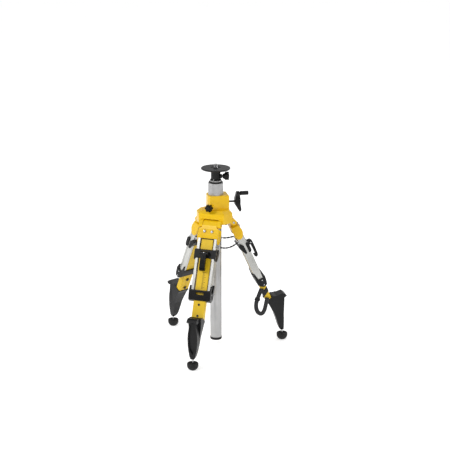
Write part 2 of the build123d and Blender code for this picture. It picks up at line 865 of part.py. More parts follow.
# The plate turns on its spindle. A shallow ring is turned round the instrument screw.
with BuildPart() as head_plate:
    with BuildSketch(Plane.XY.offset(plate_bottom)):
        Circle(plate_radius)
    extrude(amount=plate_top - plate_bottom)
    chamfer(head_plate.edges().group_by(Axis.Z)[-1], 1.2)
    chamfer(head_plate.edges().group_by(Axis.Z)[0], 2.5)
    with BuildSketch(Plane.XY.offset(plate_bottom)):
        Circle(spindle_radius)
    extrude(amount=spindle_bottom + 1 - plate_bottom)
    with BuildSketch(Plane.XY.offset(plate_top)):
        Circle(20)
        Circle(screw_radius + 3, mode=Mode.SUBTRACT)
    extrude(amount=-1.5, mode=Mode.SUBTRACT)
    with BuildSketch(Plane.XY.offset(plate_top)):
        Circle(shank_radius)
    extrude(amount=-shank_length, mode=Mode.SUBTRACT)
head_plate.part.label = "head_plate"
export_step(head_plate.part, "parts/head_plate.step")

with BuildPart() as instrument_screw:
    with BuildSketch(Plane.XY.offset(plate_top)):
        Circle(screw_radius)
    extrude(amount=screw_top - plate_top)
    chamfer(instrument_screw.edges().group_by(Axis.Z)[-1], 1)
    with BuildSketch(Plane.XY.offset(plate_top)):
        Circle(shank_radius)
    extrude(amount=-shank_length)
instrument_screw.part.label = "instrument_screw"
export_step(instrument_screw.part, "parts/instrument_screw.step")

# ------------------------------------------------------------------ crank


def pinion_outline():
    """Involute teeth, radial below the base circle, the first one pointing at the rack."""
    base_radius = pitch_radius * cos(pressure_angle)
    half_at_pitch = (pitch / 4 - flank_gap) / pitch_radius
    root_radius = pitch_radius - dedendum
    rims = [base_radius, pitch_radius, pitch_radius + addendum / 2, pitch_radius + addendum]
    flank = [(root_radius, half_at_pitch + tan(pressure_angle) - pressure_angle)]
    for rim in rims:
        roll = acos(base_radius / rim)
        flank.append((rim, half_at_pitch + tan(pressure_angle) - pressure_angle - tan(roll) + roll))
    points = []
    for tooth in range(pinion_teeth):
        middle = pi + 2 * pi * tooth / pinion_teeth
        points += [(rim * cos(middle - half), rim * sin(middle - half)) for rim, half in flank]
        points += [(rim * cos(middle + half), rim * sin(middle + half)) for rim, half in reversed(flank)]
    return points


with BuildPart() as drive_pinion:
    with BuildSketch(shaft_plane(0)):
        with BuildLine():
            Polyline(*pinion_outline(), close=True)
        make_face()
        Circle(shaft_radius, mode=Mode.SUBTRACT)
    extrude(amount=pinion_half_width, both=True)
drive_pinion.part.label = "drive_pinion"
export_step(drive_pinion.part, "parts/drive_pinion.step")

with BuildPart() as crank_shaft:
    turned(left_bush_start + 1, shaft_end, shaft_radius)
    chamfer(crank_shaft.edges().filter_by(GeomType.CIRCLE), 0.6)
crank_shaft.part.label = "crank_shaft"
export_step(crank_shaft.part, "parts/crank_shaft.step")

# The crank's arm is thick at its hub and thins towards both ends. The upper end carries the grip's spindle.
arm_side = Plane(origin=pinion_centre, x_dir=crank_direction, z_dir=-rack_direction)
with BuildPart() as crank_arm:
    with BuildSketch(arm_side):
        with BuildLine():
            Polyline(
                (arm_start + 8, arm_top),
                (grip_start - 3, arm_top),
                (grip_start + 1, 9),
                (grip_start + 1, -11),
                (grip_start + 5.5, 8 - arm_top),
                (grip_start + 3, arm_bottom),
                (grip_start - 1.5, arm_bottom),
                (arm_start, -11),
                (arm_start, 9),
                close=True,
            )
        make_face()
        fillet(vertices(), 2)
    extrude(amount=14, both=True)
    with BuildSketch(shaft_plane(arm_start - 5)):
        with BuildLine():
            ThreePointArc((0, arm_top + 5), (-12, 0), (0, arm_bottom - 2))
            ThreePointArc((0, arm_bottom - 2), (12, 0), (0, arm_top + 5))
        make_face()
        with Locations((0, arm_top - 9), (0, arm_bottom + 9)):
            Circle(9)
    extrude(amount=50, mode=Mode.INTERSECT)
    turned(grip_start - 8, grip_end - 4, grip_spindle_radius, grip_offset)
    turned(arm_start - 5, shaft_end, shaft_radius, mode=Mode.SUBTRACT)
crank_arm.part.label = "crank_arm"
export_step(crank_arm.part, "parts/crank_arm.step")

with BuildPart() as crank_grip:
    turned(grip_start, grip_end, grip_radius, grip_offset)
    fillet(crank_grip.edges().filter_by(GeomType.CIRCLE), 2)
    turned(grip_start - 1, grip_end - 3, grip_spindle_radius + running_gap, grip_offset, mode=Mode.SUBTRACT)
crank_grip.part.label = "crank_grip"
export_step(crank_grip.part, "parts/crank_grip.step")


# ------------------------------------------------------------------ knobs


def star_knob(azimuth, height, screw_start, knob_start, knob_length, knob_radius, lobes):
    """A lobed knob and its screw, in the frame of the part being built."""
    from_seat = (Align.CENTER, Align.CENTER, Align.MIN)
    with Locations(facing(azimuth, knob_start, height)):
        Cylinder(knob_radius * 0.8, knob_length, align=from_seat)
        with PolarLocations(knob_radius * 0.72, lobes):
            Cylinder(knob_radius * 0.28, knob_length, align=from_seat)
    with Locations(facing(azimuth, screw_start, height)):
        Cylinder(knob_screw_radius, knob_start - screw_start + 1, align=from_seat)


with BuildPart() as column_lock_knob:
    star_knob(lock_azimuth, lock_height, column_radius + 0.6, 58, 15, 16, 6)
column_lock_knob.part.label = "column_lock_knob"
export_step(column_lock_knob.part, "parts/column_lock_knob.step")

with BuildPart() as neck_lock_knob:
    star_knob(neck_knob_azimuth, neck_knob_height, spindle_radius + 0.4, 38, 16, 18, 5)
    with Locations(facing(neck_knob_azimuth, 28, neck_knob_height)):
        Cone(8, 14, 10, align=(Align.CENTER, Align.CENTER, Align.MIN))
neck_lock_knob.part.label = "neck_lock_knob"
export_step(neck_lock_knob.part, "parts/neck_lock_knob.step")

# ------------------------------------------------------------------ chains and strap


def eye_point(azimuth, reach):
    frame = leg_frame(azimuth)
    return frame.origin + frame.x_dir * reach + frame.y_dir * eye_y + frame.z_dir * eye_drop


def largest_radii(points):
    """The largest tangent arc that each corner of a route allows."""
    radii = []
    for before, corner, after in zip(points, points[1:], points[2:]):
        turn = radians((corner - before).get_angle(after - corner))
        shorter = min((corner - before).length, (after - corner).length)
        radii.append(0.45 * shorter / tan(turn / 2))
    return radii


def chain_route(first, second):
    """From one leg's eye to the next leg's, sagging in an even curve of five runs."""
    start, end = eye_point(first, eye_across), eye_point(second, -eye_across)
    toward = (end - start).normalized()
    start, end = start + toward * 5.5, end - toward * 5.5
    points = []
    for step in range(6):
        share = step / 5
        points.append(start + (end - start) * share - Vector(0, 0, 4 * chain_sag * share * (1 - share)))
    return points


with BuildPart() as chains:
    for first, second in ((0, 120), (120, 240), (240, 360)):
        route = chain_route(first, second)
        radii = largest_radii(route)
        with BuildLine() as chain_line:
            FilletPolyline(*route, radius=radii)
        with BuildSketch(Plane(origin=route[0], z_dir=route[1] - route[0])):
            Circle(chain_diameter / 2)
        sweep(path=chain_line.wire())
        print("chain", round(chain_line.wire().length, 1), "mm, radii", [round(radius) for radius in radii])
chains.part.label = "chains"
export_step(chains.part, "parts/chains.step")

# The strap: a band round the right leg's inner profile, and a hand loop that hangs beside it.
strap_azimuth = leg_azimuths["right"]
loop_route = [
    (189, 244),
    (175, 208),
    (165, 176),
    (170, 143),
    (191, 128),
    (204, 147),
    (210, 179),
    (215, 203),
]
strap_side = -profile_half_width - 4
with BuildPart() as carry_strap:
    width, depth = 2 * (profile_half_width + guide_gap), 2 * (profile_half_depth + guide_gap)
    with BuildSketch(leg_frame(strap_azimuth).offset(strap_start)):
        RectangleRounded(width + 2 * strap_thickness, depth + 2 * strap_thickness, 3)
        RectangleRounded(width, depth, 1.5, mode=Mode.SUBTRACT)
    extrude(amount=strap_width)
    with BuildSketch(upright_side(strap_azimuth, strap_side)):
        corners = [Vector(*point) for point in loop_route]
        radii = largest_radii(corners)
        with BuildLine() as loop_line:
            FilletPolyline(*corners, radius=radii)
        trace(loop_line.wire(), strap_width)
    extrude(amount=strap_thickness)
    print("strap loop", round(loop_line.wire().length, 1), "mm, radii", [round(radius) for radius in radii])
carry_strap.part.label = "carry_strap"
export_step(carry_strap.part, "parts/carry_strap.step")
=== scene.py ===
import itertools
import json
import math

import bmesh
import bpy
import numpy as np
from mathutils import Matrix, Vector


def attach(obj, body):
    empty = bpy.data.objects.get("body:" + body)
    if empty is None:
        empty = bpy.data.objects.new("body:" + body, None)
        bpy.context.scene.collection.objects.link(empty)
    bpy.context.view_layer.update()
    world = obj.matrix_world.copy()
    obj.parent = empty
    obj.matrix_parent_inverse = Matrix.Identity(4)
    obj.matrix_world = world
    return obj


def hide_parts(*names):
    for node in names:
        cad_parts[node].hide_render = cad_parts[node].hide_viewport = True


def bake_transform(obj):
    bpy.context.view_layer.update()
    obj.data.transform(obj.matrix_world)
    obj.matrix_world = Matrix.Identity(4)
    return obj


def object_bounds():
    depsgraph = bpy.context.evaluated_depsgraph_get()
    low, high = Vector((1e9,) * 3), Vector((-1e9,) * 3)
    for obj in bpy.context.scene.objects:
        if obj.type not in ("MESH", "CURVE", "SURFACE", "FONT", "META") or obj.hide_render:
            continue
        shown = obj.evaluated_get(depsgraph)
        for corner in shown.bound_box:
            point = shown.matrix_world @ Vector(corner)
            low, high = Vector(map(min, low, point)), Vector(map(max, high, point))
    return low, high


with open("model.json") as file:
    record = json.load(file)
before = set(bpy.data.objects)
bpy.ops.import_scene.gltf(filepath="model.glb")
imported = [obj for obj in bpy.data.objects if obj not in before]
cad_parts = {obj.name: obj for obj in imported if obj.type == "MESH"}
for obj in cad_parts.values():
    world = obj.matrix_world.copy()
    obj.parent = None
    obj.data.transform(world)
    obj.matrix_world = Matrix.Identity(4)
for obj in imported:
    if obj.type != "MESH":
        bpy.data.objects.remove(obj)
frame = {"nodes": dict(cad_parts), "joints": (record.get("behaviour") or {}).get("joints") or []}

cad_low, cad_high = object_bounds()
scene = bpy.context.scene
MM = 0.001

# ------------------------------------------------------------------ places read from the frame

JOINTS = {joint["name"]: joint for joint in frame["joints"]}
SIDES = ("front", "right", "left")
UP = Vector((0, 0, 1))


def axis_of(name):
    return Vector(JOINTS[name]["axis"]).normalized()


def place_of(name):
    return Vector(JOINTS[name]["pos_m"])


def frame_matrix(origin, x_dir, z_dir):
    """A frame with these x and z directions, at this origin."""
    x = Vector(x_dir).normalized()
    z = Vector(z_dir).normalized()
    y = z.cross(x)
    rotation = Matrix((x, y, z)).transposed().to_4x4()
    return Matrix.Translation(origin) @ rotation


def leg_matrix(side):
    """A leg's own frame: on its hinge, x across it, y out of its front face, z down it."""
    hinge = f"leg_{side}_fold"
    return frame_matrix(place_of(hinge), axis_of(hinge), axis_of(f"inner_{side}_slide"))


def leg_outward(side):
    """The level direction that a leg points in."""
    down = axis_of(f"inner_{side}_slide")
    return Vector((down.x, down.y, 0)).normalized()


LEGS = {side: leg_matrix(side) for side in SIDES}

# ------------------------------------------------------------------ camera

CAMERA_AZIMUTH = math.radians(19)
CAMERA_DISTANCE = 4.467
CAMERA_HEIGHT = 1.834
CAMERA_PITCH = math.radians(16.32)
CAMERA_YAW = math.radians(0.488)
CAMERA_LENS = 90.14


def make_camera():
    toward_camera = Vector((math.sin(CAMERA_AZIMUTH), -math.cos(CAMERA_AZIMUTH), 0))
    right = Vector((math.cos(CAMERA_AZIMUTH), math.sin(CAMERA_AZIMUTH), 0))
    level = right * math.sin(CAMERA_YAW) - toward_camera * math.cos(CAMERA_YAW)
    look = level * math.cos(CAMERA_PITCH) - UP * math.sin(CAMERA_PITCH)
    camera = bpy.data.objects.new("camera", bpy.data.cameras.new("camera"))
    camera.data.lens = CAMERA_LENS
    camera.data.sensor_width = 36
    camera.data.clip_end = 50
    camera.location = toward_camera * CAMERA_DISTANCE + UP * CAMERA_HEIGHT
    camera.rotation_euler = look.to_track_quat("-Z", "Y").to_euler()
    scene.collection.objects.link(camera)
    scene.camera = camera


make_camera()

# ------------------------------------------------------------------ mesh helpers

SEAT_SINK = 0.3 * MM


def new_piece(name, data, material=None):
    piece = bpy.data.objects.new(name, data)
    scene.collection.objects.link(piece)
    if material:
        data.materials.append(material)
    return piece


def mesh_from(name, made, material=None, smooth=True):
    """A piece from a bmesh, with its faces turned outward."""
    bmesh.ops.remove_doubles(made, verts=made.verts, dist=1e-7)
    bmesh.ops.recalc_face_normals(made, faces=made.faces)
    data = bpy.data.meshes.new(name)
    made.to_mesh(data)
    made.free()
    for face in data.polygons:
        face.use_smooth = smooth
    return new_piece(name, data, material)


def tube_along(made, points, radius, sides=8, closed=False):
    """A round wire along points, added to a bmesh."""
    count = len(points)
    rings = []
    normal = None
    for i, point in enumerate(points):
        before = points[i - 1] if closed or i else points[0]
        after = points[(i + 1) % count] if closed or i < count - 1 else points[-1]
        along = (after - before).normalized()
        if normal is None:
            normal = along.orthogonal().normalized()
        normal = (normal - along * normal.dot(along)).normalized()
        side = along.cross(normal)
        ring = []
        for k in range(sides):
            angle = 2 * math.pi * k / sides
            ring.append(made.verts.new(point + (normal * math.cos(angle) + side * math.sin(angle)) * radius))
        rings.append(ring)
    for i in range(count if closed else count - 1):
        a, b = rings[i], rings[(i + 1) % count]
        for k in range(sides):
            made.faces.new((a[k], a[(k + 1) % sides], b[(k + 1) % sides], b[k]))
    if not closed:
        made.faces.new(reversed(rings[0]))
        made.faces.new(rings[-1])


def lathe(name, profile, matrix, material, sides=64):
    """A solid of revolution about the matrix's z axis, whose (radius, height) pairs start and end on it."""
    made = bmesh.new()
    rings = []
    for radius, height in profile:
        if radius < 1e-7:
            rings.append([made.verts.new((0, 0, height))])
            continue
        turns = [2 * math.pi * k / sides for k in range(sides)]
        rings.append([made.verts.new((radius * math.cos(t), radius * math.sin(t), height)) for t in turns])
    for a, b in zip(rings, rings[1:]):
        for k in range(sides):
            n = (k + 1) % sides
            if len(a) == 1:
                made.faces.new((a[0], b[k], b[n]))
            elif len(b) == 1:
                made.faces.new((a[k], a[n], b[0]))
            else:
                made.faces.new((a[k], a[n], b[n], b[k]))
    made.transform(matrix)
    return mesh_from(name, made, material)


def capped_head(name, matrix, radius, height, material, recess=0.45):
    """A round screw or rivet head on its seat: domed, with a shallow round recess in the middle."""
    lip = recess * radius
    recess_floor = height * 0.55
    profile = [(0, recess_floor), (lip * 0.8, recess_floor), (lip, height), (0.75 * radius, height * 0.92)]
    profile += [(0.95 * radius, height * 0.6), (radius, height * 0.2), (radius, -SEAT_SINK), (0, -SEAT_SINK)]
    return lathe(name, profile, matrix, material, 32)


def ring_into(made, sides, radius, height):
    """A level ring of vertices about the z axis, added to a bmesh."""
    turns = [2 * math.pi * k / sides for k in range(sides)]
    return [made.verts.new((radius * math.cos(turn), radius * math.sin(turn), height)) for turn in turns]


def join_rings(made, rings):
    """The wall between each ring of vertices and the next."""
    for a, b in zip(rings, rings[1:]):
        for k in range(len(a)):
            n = (k + 1) % len(a)
            made.faces.new((a[k], a[n], b[n], b[k]))


def hexagon_head(name, matrix, radius, height, material):
    """A six-sided nut with a bolt's end standing in it."""
    made = bmesh.new()
    levels = ((-SEAT_SINK, 1), (height * 0.8, 1), (height, 0.88), (height, 0.5), (height * 1.35, 0.46))
    rings = [ring_into(made, 6, radius * share, level) for level, share in levels]
    join_rings(made, rings)
    made.faces.new(rings[0])
    made.faces.new(rings[-1])
    made.transform(matrix)
    return mesh_from(name, made, material, smooth=False)


def box_into(made, low, high):
    """A box between two corners in millimetres, added to a bmesh."""
    spans = [(start * MM, end * MM) for start, end in zip(low, high)]
    corners = [made.verts.new(corner) for corner in itertools.product(*spans)]
    for face in ((0, 1, 3, 2), (4, 6, 7, 5), (0, 4, 5, 1), (2, 3, 7, 6), (0, 2, 6, 4), (1, 5, 7, 3)):
        made.faces.new([corners[k] for k in face])


def on_leg(side, x, y, drop, toward):
    """A frame on a leg at a place in millimetres, its z axis along a direction of the leg's own frame."""
    rotation = LEGS[side].to_3x3()
    z = rotation @ Vector(toward)
    return frame_matrix(LEGS[side] @ (Vector((x, y, drop)) * MM), rotation @ Vector((0, 0, 1)), z)


def fixed(piece, body):
    """A piece that rides one body."""
    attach(piece, body)
    return piece


def spline_points(points, steps=16):
    """Points along the smooth line of a route: a NURBS spline of order 3 that starts and ends on it."""
    curve = bpy.data.curves.new("route", "CURVE")
    curve.dimensions = "3D"
    curve.resolution_u = steps
    spline = curve.splines.new("NURBS")
    spline.points.add(len(points) - 1)
    for control, point in zip(spline.points, points):
        control.co = (*point, 1)
    spline.order_u = 3
    spline.use_endpoint_u = True
    carrier = bpy.data.objects.new("route", curve)
    scene.collection.objects.link(carrier)
    bpy.context.view_layer.update()
    line = bpy.data.meshes.new_from_object(carrier)
    found = [vertex.co.copy() for vertex in line.vertices]
    bpy.data.objects.remove(carrier)
    bpy.data.meshes.remove(line)
    return found


def length_of(points):
    return sum((b - a).length for a, b in zip(points, points[1:]))


def evenly(points, count):
    """The same line at evenly spaced stations, as (place, direction) pairs."""
    lengths = [0]
    for a, b in zip(points, points[1:]):
        lengths.append(lengths[-1] + (b - a).length)
    stations = []
    for i in range(count + 1):
        want = lengths[-1] * i / count
        k = min(max(np.searchsorted(lengths, want) - 1, 0), len(points) - 2)
        share = (want - lengths[k]) / max(lengths[k + 1] - lengths[k], 1e-9)
        along = (points[k + 1] - points[k]).normalized()
        stations.append((points[k].lerp(points[k + 1], share), along))
    return stations


# ------------------------------------------------------------------ materials


class Shade:
    """One procedural material: a principled shader, its colour, roughness and bump worked out by nodes."""

    def __init__(self, name, metallic=0.0, specular=0.5, coat=0.0, coat_roughness=0.1):
        self.material = bpy.data.materials.new(name)
        self.material.use_nodes = True
        self.tree = self.material.node_tree
        self.shader = self.tree.nodes["Principled BSDF"]
        self.shader.inputs["Metallic"].default_value = metallic
        self.shader.inputs["Specular IOR Level"].default_value = specular
        self.shader.inputs["Coat Weight"].default_value = coat
        self.shader.inputs["Coat Roughness"].default_value = coat_roughness
        self.place = self.tree.nodes.new("ShaderNodeTexCoord").outputs["Object"]
        self.normal = None

    def node(self, kind, **settings):
        made = self.tree.nodes.new(kind)
        for key, value in settings.items():
            setattr(made, key, value)
        return made

    def link(self, source, target):
        self.tree.links.new(source, target)

    def stretched(self, scale):
        mapping = self.node("ShaderNodeMapping")
        mapping.inputs["Scale"].default_value = scale
        self.link(self.place, mapping.inputs["Vector"])
        return mapping.outputs["Vector"]

    def noise(self, scale, detail=3.0, rough=0.55, stretch=None):
        made = self.node("ShaderNodeTexNoise")
        made.inputs["Scale"].default_value = scale
        made.inputs["Detail"].default_value = detail
        made.inputs["Roughness"].default_value = rough
        self.link(self.stretched(stretch) if stretch else self.place, made.inputs["Vector"])
        return made.outputs["Fac"]

    def remap(self, value, low, high, to_low, to_high):
        made = self.node("ShaderNodeMapRange")
        for socket, number in zip(("From Min", "From Max", "To Min", "To Max"), (low, high, to_low, to_high)):
            made.inputs[socket].default_value = number
        self.link(value, made.inputs["Value"])
        return made.outputs["Result"]

    def mix(self, factor, first, second):
        made = self.node("ShaderNodeMix", data_type="RGBA")
        for socket, value in ((0, factor), (6, first), (7, second)):
            if isinstance(value, (tuple, list, float, int)):
                made.inputs[socket].default_value = value
            else:
                self.link(value, made.inputs[socket])
        return made.outputs[2]

    def edge_highlight_mask(self, radius, low=0.02, high=0.25):
        """How far the surface is from flat within a small radius: near 1 on a sharp edge. The materials use
        it to paint highlights on edges.
        """
        bevel = self.node("ShaderNodeBevel", samples=4)
        bevel.inputs["Radius"].default_value = radius
        geometry = self.node("ShaderNodeNewGeometry")
        dot = self.node("ShaderNodeVectorMath", operation="DOT_PRODUCT")
        self.link(bevel.outputs["Normal"], dot.inputs[0])
        self.link(geometry.outputs["Normal"], dot.inputs[1])
        return self.remap(dot.outputs["Value"], 1 - low, 1 - high, 0, 1)

    def color(self, value):
        self.link(value, self.shader.inputs["Base Color"])

    def roughness(self, value, low, high):
        self.link(self.remap(value, 0.3, 0.7, low, high), self.shader.inputs["Roughness"])

    def bump(self, height, strength, distance):
        made = self.node("ShaderNodeBump")
        made.inputs["Strength"].default_value = strength
        made.inputs["Distance"].default_value = distance
        self.link(height, made.inputs["Height"])
        if self.normal:
            self.link(self.normal, made.inputs["Normal"])
        self.normal = made.outputs["Normal"]
        self.link(self.normal, self.shader.inputs["Normal"])


def rgb(red, green, blue):
    """A colour from 0 to 255 screen values, as linear light."""
    def linear(value):
        value /= 255
        return value / 12.92 if value <= 0.04045 else ((value + 0.055) / 1.055) ** 2.4

    return (linear(red), linear(green), linear(blue), 1)


def enamel(name, base, shadow, bright):
    """Glossy enamel over a sand casting: orange peel, soft colour drift, grime, and painted highlights on its
    edges.
    """
    made = Shade(name, specular=0.32, coat=0.12, coat_roughness=0.2)
    drift = made.remap(made.noise(9, 4), 0.35, 0.65, 0, 1)
    grime = made.remap(made.noise(60, 6, 0.7), 0.55, 0.8, 0, 0.35)
    body = made.mix(grime, made.mix(drift, base, bright), shadow)
    # Painted highlight: sharp edges are mixed towards the bright colour, as if they caught the light.
    made.color(made.mix(made.edge_highlight_mask(0.0009, 0.05, 0.6), body, bright))
    made.roughness(made.noise(120, 3), 0.28, 0.42)
    made.bump(made.noise(420, 2), 0.12, 0.0004)
    made.bump(made.noise(2600, 2), 0.10, 0.0001)
    return made.material


def powder_coat(name, base, other, shine=(0.38, 0.5)):
    """Fine-textured powder coat with a slow drift of tone."""
    made = Shade(name, specular=0.35)
    drift = made.remap(made.noise(5, 3), 0.35, 0.65, 0, 1)
    made.color(made.mix(drift, base, other))
    made.roughness(made.noise(200, 3), *shine)
    made.bump(made.noise(1800, 3), 0.18, 0.0001)
    return made.material


def brushed(name, base, other, rough, stretch, metallic=1.0, scale=900):
    """Metal with fine lines drawn along one direction, and a broad change of tone."""
    made = Shade(name, metallic=metallic, specular=0.5)
    lines = made.noise(scale, 3, 0.6, stretch)
    tone = made.remap(made.noise(7, 3), 0.3, 0.7, 0, 1)
    streak = made.remap(lines, 0.3, 0.7, 0, 0.5)
    made.color(made.mix(streak, made.mix(tone, base, other), other))
    made.roughness(lines, *rough)
    made.bump(lines, 0.10, 0.00006)
    return made.material


def moulded(name, base, other, rough=(0.42, 0.58), grain=1300, depth=0.25, edge=None):
    """Spark-textured moulded plastic, with painted highlights on its edges where an edge colour is given."""
    made = Shade(name, specular=0.24)
    tone = made.remap(made.noise(16, 4), 0.35, 0.65, 0, 1)
    body = made.mix(tone, base, other)
    # Painted highlight: sharp edges are mixed towards the lighter edge colour.
    if edge:
        body = made.mix(made.edge_highlight_mask(0.0011, 0.05, 0.6), body, edge)
    made.color(body)
    made.roughness(made.noise(160, 4), *rough)
    made.bump(made.noise(grain, 3, 0.6), depth, 0.00012)
    return made.material


def rubber(name):
    """Dull rubber with pale dust in patches."""
    made = Shade(name, specular=0.35)
    dust = made.remap(made.noise(45, 5, 0.7), 0.5, 0.75, 0, 0.6)
    made.color(made.mix(dust, rgb(22, 22, 23), rgb(52, 51, 49)))
    made.roughness(made.noise(90, 4), 0.6, 0.85)
    made.bump(made.noise(900, 3), 0.3, 0.00015)
    return made.material


def webbing(name):
    """Woven strap: crossing ribs about a millimetre apart."""
    made = Shade(name, specular=0.25)
    made.shader.inputs["Sheen Weight"].default_value = 0.35
    ribs = made.node("ShaderNodeTexWave", wave_type="BANDS", bands_direction="DIAGONAL")
    ribs.inputs["Scale"].default_value = 420
    ribs.inputs["Distortion"].default_value = 1.2
    made.link(made.place, ribs.inputs["Vector"])
    crossing = made.node("ShaderNodeTexWave", wave_type="BANDS", bands_direction="Z")
    crossing.inputs["Scale"].default_value = 330
    made.link(made.place, crossing.inputs["Vector"])
    woven = made.node("ShaderNodeMath", operation="MAXIMUM")
    made.link(ribs.outputs["Fac"], woven.inputs[0])
    made.link(crossing.outputs["Fac"], woven.inputs[1])
    made.color(made.mix(woven.outputs[0], rgb(10, 10, 11), rgb(46, 46, 48)))
    made.roughness(made.noise(300, 3), 0.75, 0.95)
    made.bump(woven.outputs[0], 0.6, 0.0003)
    return made.material


# The yellow enamel's bright colour serves its random drift and also its painted highlights on edges.
YELLOW_CAST = enamel("yellow_cast", rgb(222, 175, 0), rgb(170, 129, 0), rgb(236, 193, 12))
YELLOW_PROFILE = powder_coat("yellow_profile", rgb(214, 176, 16), rgb(226, 190, 36))
ALUMINIUM = brushed("aluminium", rgb(206, 206, 203), rgb(176, 176, 172), (0.28, 0.42), (1, 1, 0.04))
COLUMN_METAL = brushed("column_metal", rgb(188, 188, 188), rgb(158, 158, 158), (0.28, 0.4), (1, 1, 0.03))
SLEEVE_METAL = brushed("sleeve_metal", rgb(214, 214, 214), rgb(168, 168, 169), (0.44, 0.6), (0.3, 0.3, 1))
STEEL = brushed("steel", rgb(212, 212, 212), rgb(180, 180, 181), (0.2, 0.34), (1, 1, 0.3), scale=500)
CHAIN_STEEL = brushed("chain_steel", rgb(84, 84, 86), rgb(46, 46, 48), (0.25, 0.4), (1, 1, 1), scale=500)
BLACK_STEEL = brushed(
    "black_steel", rgb(34, 33, 33), rgb(58, 56, 54), (0.32, 0.5), (1, 1, 1), metallic=0.6, scale=300
)
BRONZE = brushed("bronze", rgb(196, 150, 88), rgb(160, 112, 58), (0.28, 0.42), (1, 1, 1), scale=400)
# The edge colours of the black plastics below are painted highlights on their edges.
NYLON = moulded("nylon", rgb(11, 11, 12), rgb(18, 18, 20), rough=(0.3, 0.44), edge=rgb(50, 50, 54))
NYLON_SMOOTH = moulded(
    "nylon_smooth", rgb(8, 8, 9), rgb(14, 14, 15), rough=(0.18, 0.3), depth=0.1, edge=rgb(44, 44, 48)
)
CAST_BLACK = moulded(
    "cast_black",
    rgb(12, 12, 13),
    rgb(20, 20, 22),
    rough=(0.3, 0.44),
    grain=700,
    depth=0.3,
    edge=rgb(58, 58, 62),
)
PLATE_BLACK = moulded(
    "plate_black",
    rgb(20, 20, 21),
    rgb(32, 32, 34),
    rough=(0.3, 0.45),
    grain=900,
    depth=0.2,
    edge=rgb(84, 84, 88),
)
RUBBER = rubber("rubber")
WEBBING = webbing("webbing")
DARK_INK = moulded("dark_ink", rgb(40, 32, 18), rgb(52, 42, 24), depth=0.1)

LEG_FINISHES = {
    "bracket": YELLOW_CAST,
    "hinge_pin": STEEL,
    "bracket_rivets": STEEL,
    "rails": ALUMINIUM,
    "crossbar": STEEL,
    "clamp_body": NYLON,
    "lever_pin": STEEL,
    "clamp_lever": NYLON_SMOOTH,
    "lower_band": NYLON,
    "inner_profile": YELLOW_PROFILE,
    "foot": CAST_BLACK,
    "foot_stud": STEEL,
    "rubber_foot": RUBBER,
}
HEAD_FINISHES = {
    "head_casting": YELLOW_CAST,
    "gear_housing": YELLOW_CAST,
    "casting_screws": BLACK_STEEL,
    "shaft_bushes": BRONZE,
    "column_sleeve": SLEEVE_METAL,
    "wiper_ring": NYLON_SMOOTH,
    "column_tube": COLUMN_METAL,
    "column_rack": STEEL,
    "column_cap": NYLON,
    "column_neck": NYLON_SMOOTH,
    "head_plate": PLATE_BLACK,
    "instrument_screw": STEEL,
    "drive_pinion": STEEL,
    "crank_shaft": BLACK_STEEL,
    "crank_arm": NYLON_SMOOTH,
    "crank_grip": NYLON,
    "column_lock_knob": NYLON_SMOOTH,
    "neck_lock_knob": NYLON_SMOOTH,
}


def finish_node(name, material):
    node = frame["nodes"][name]
    node.data.materials.clear()
    node.data.materials.append(material)


for part, material in LEG_FINISHES.items():
    for side in SIDES:
        finish_node(f"{part}_{side}", material)
for name, material in HEAD_FINISHES.items():
    finish_node(name, material)

# ------------------------------------------------------------------ safety chains

CHAIN_WIDTH = 7 * MM
CHAIN_WIRE = 1.7 * MM
CHAIN_SAG = 10 * MM
EYE = Vector((44, -18.5, 88)) * MM
EYE_CLEARANCE = 5.5 * MM
CHAIN_ROUTE_STEPS = 5
LINKS_PER_HALF = 6
LINK_OVERLAP = 2.6 * CHAIN_WIRE
LINK_TILT = 0.25
LINK_END_STEPS = 6


def chain_route(first, second):
    """A sagging line between the facing eyes of two legs, clear of both."""
    start = LEGS[first] @ EYE
    end = LEGS[second] @ Vector((-EYE.x, EYE.y, EYE.z))
    toward = (end - start).normalized()
    start, end = start + toward * EYE_CLEARANCE, end - toward * EYE_CLEARANCE
    points = []
    for step in range(CHAIN_ROUTE_STEPS + 1):
        share = step / CHAIN_ROUTE_STEPS
        points.append(start.lerp(end, share) - UP * 4 * CHAIN_SAG * share * (1 - share))
    return points


def add_link(made, middle, along, across, length):
    """One oval link of round wire, lying in the plane of its two directions."""
    reach = CHAIN_WIDTH / 2 - CHAIN_WIRE
    straight = length / 2 - reach
    loop = []
    for end in (1, -1):
        for step in range(LINK_END_STEPS + 1):
            angle = math.pi * (step / LINK_END_STEPS - 0.5)
            local = Vector((math.cos(angle) * reach + straight, math.sin(angle) * reach)) * end
            loop.append(middle + along * local.x + across * local.y)
    tube_along(made, loop, CHAIN_WIRE, 8, closed=True)


def make_half_chain(name, leg, line):
    """Links along half of a chain, each a quarter turn from the last."""
    stations = evenly(line, LINKS_PER_HALF)
    pitch = length_of(line) / LINKS_PER_HALF
    made = bmesh.new()
    for i in range(LINKS_PER_HALF):
        (start, along), (end, _) = stations[i], stations[i + 1]
        level = along.cross(UP).normalized()
        turned = level if i % 2 else along.cross(level)
        tilted = (turned + along.cross(turned) * LINK_TILT).normalized()
        add_link(made, start.lerp(end, 0.5), (end - start).normalized(), tilted, pitch + LINK_OVERLAP)
    piece = mesh_from(name, made, CHAIN_STEEL)
    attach(piece, f"leg_{leg}")
    return piece


def make_chain(first, second):
    """A chain between two legs, in two halves, each from beside its leg's eye to the middle of the chain.
    Both halves are then left unparented, where they were made.
    """
    line = spline_points(chain_route(first, second))
    middle = len(line) // 2
    halves = ((first, line[: middle + 1]), (second, list(reversed(line[middle:]))))
    for leg, half in halves:
        other = second if leg == first else first
        piece = make_half_chain(f"chain_{leg}_to_{other}", leg, half)
        piece.parent = None
        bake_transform(piece)
        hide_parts("chains")


for first, second in zip(SIDES, SIDES[1:] + SIDES[:1]):
    make_chain(first, second)

# ------------------------------------------------------------------ carrying strap

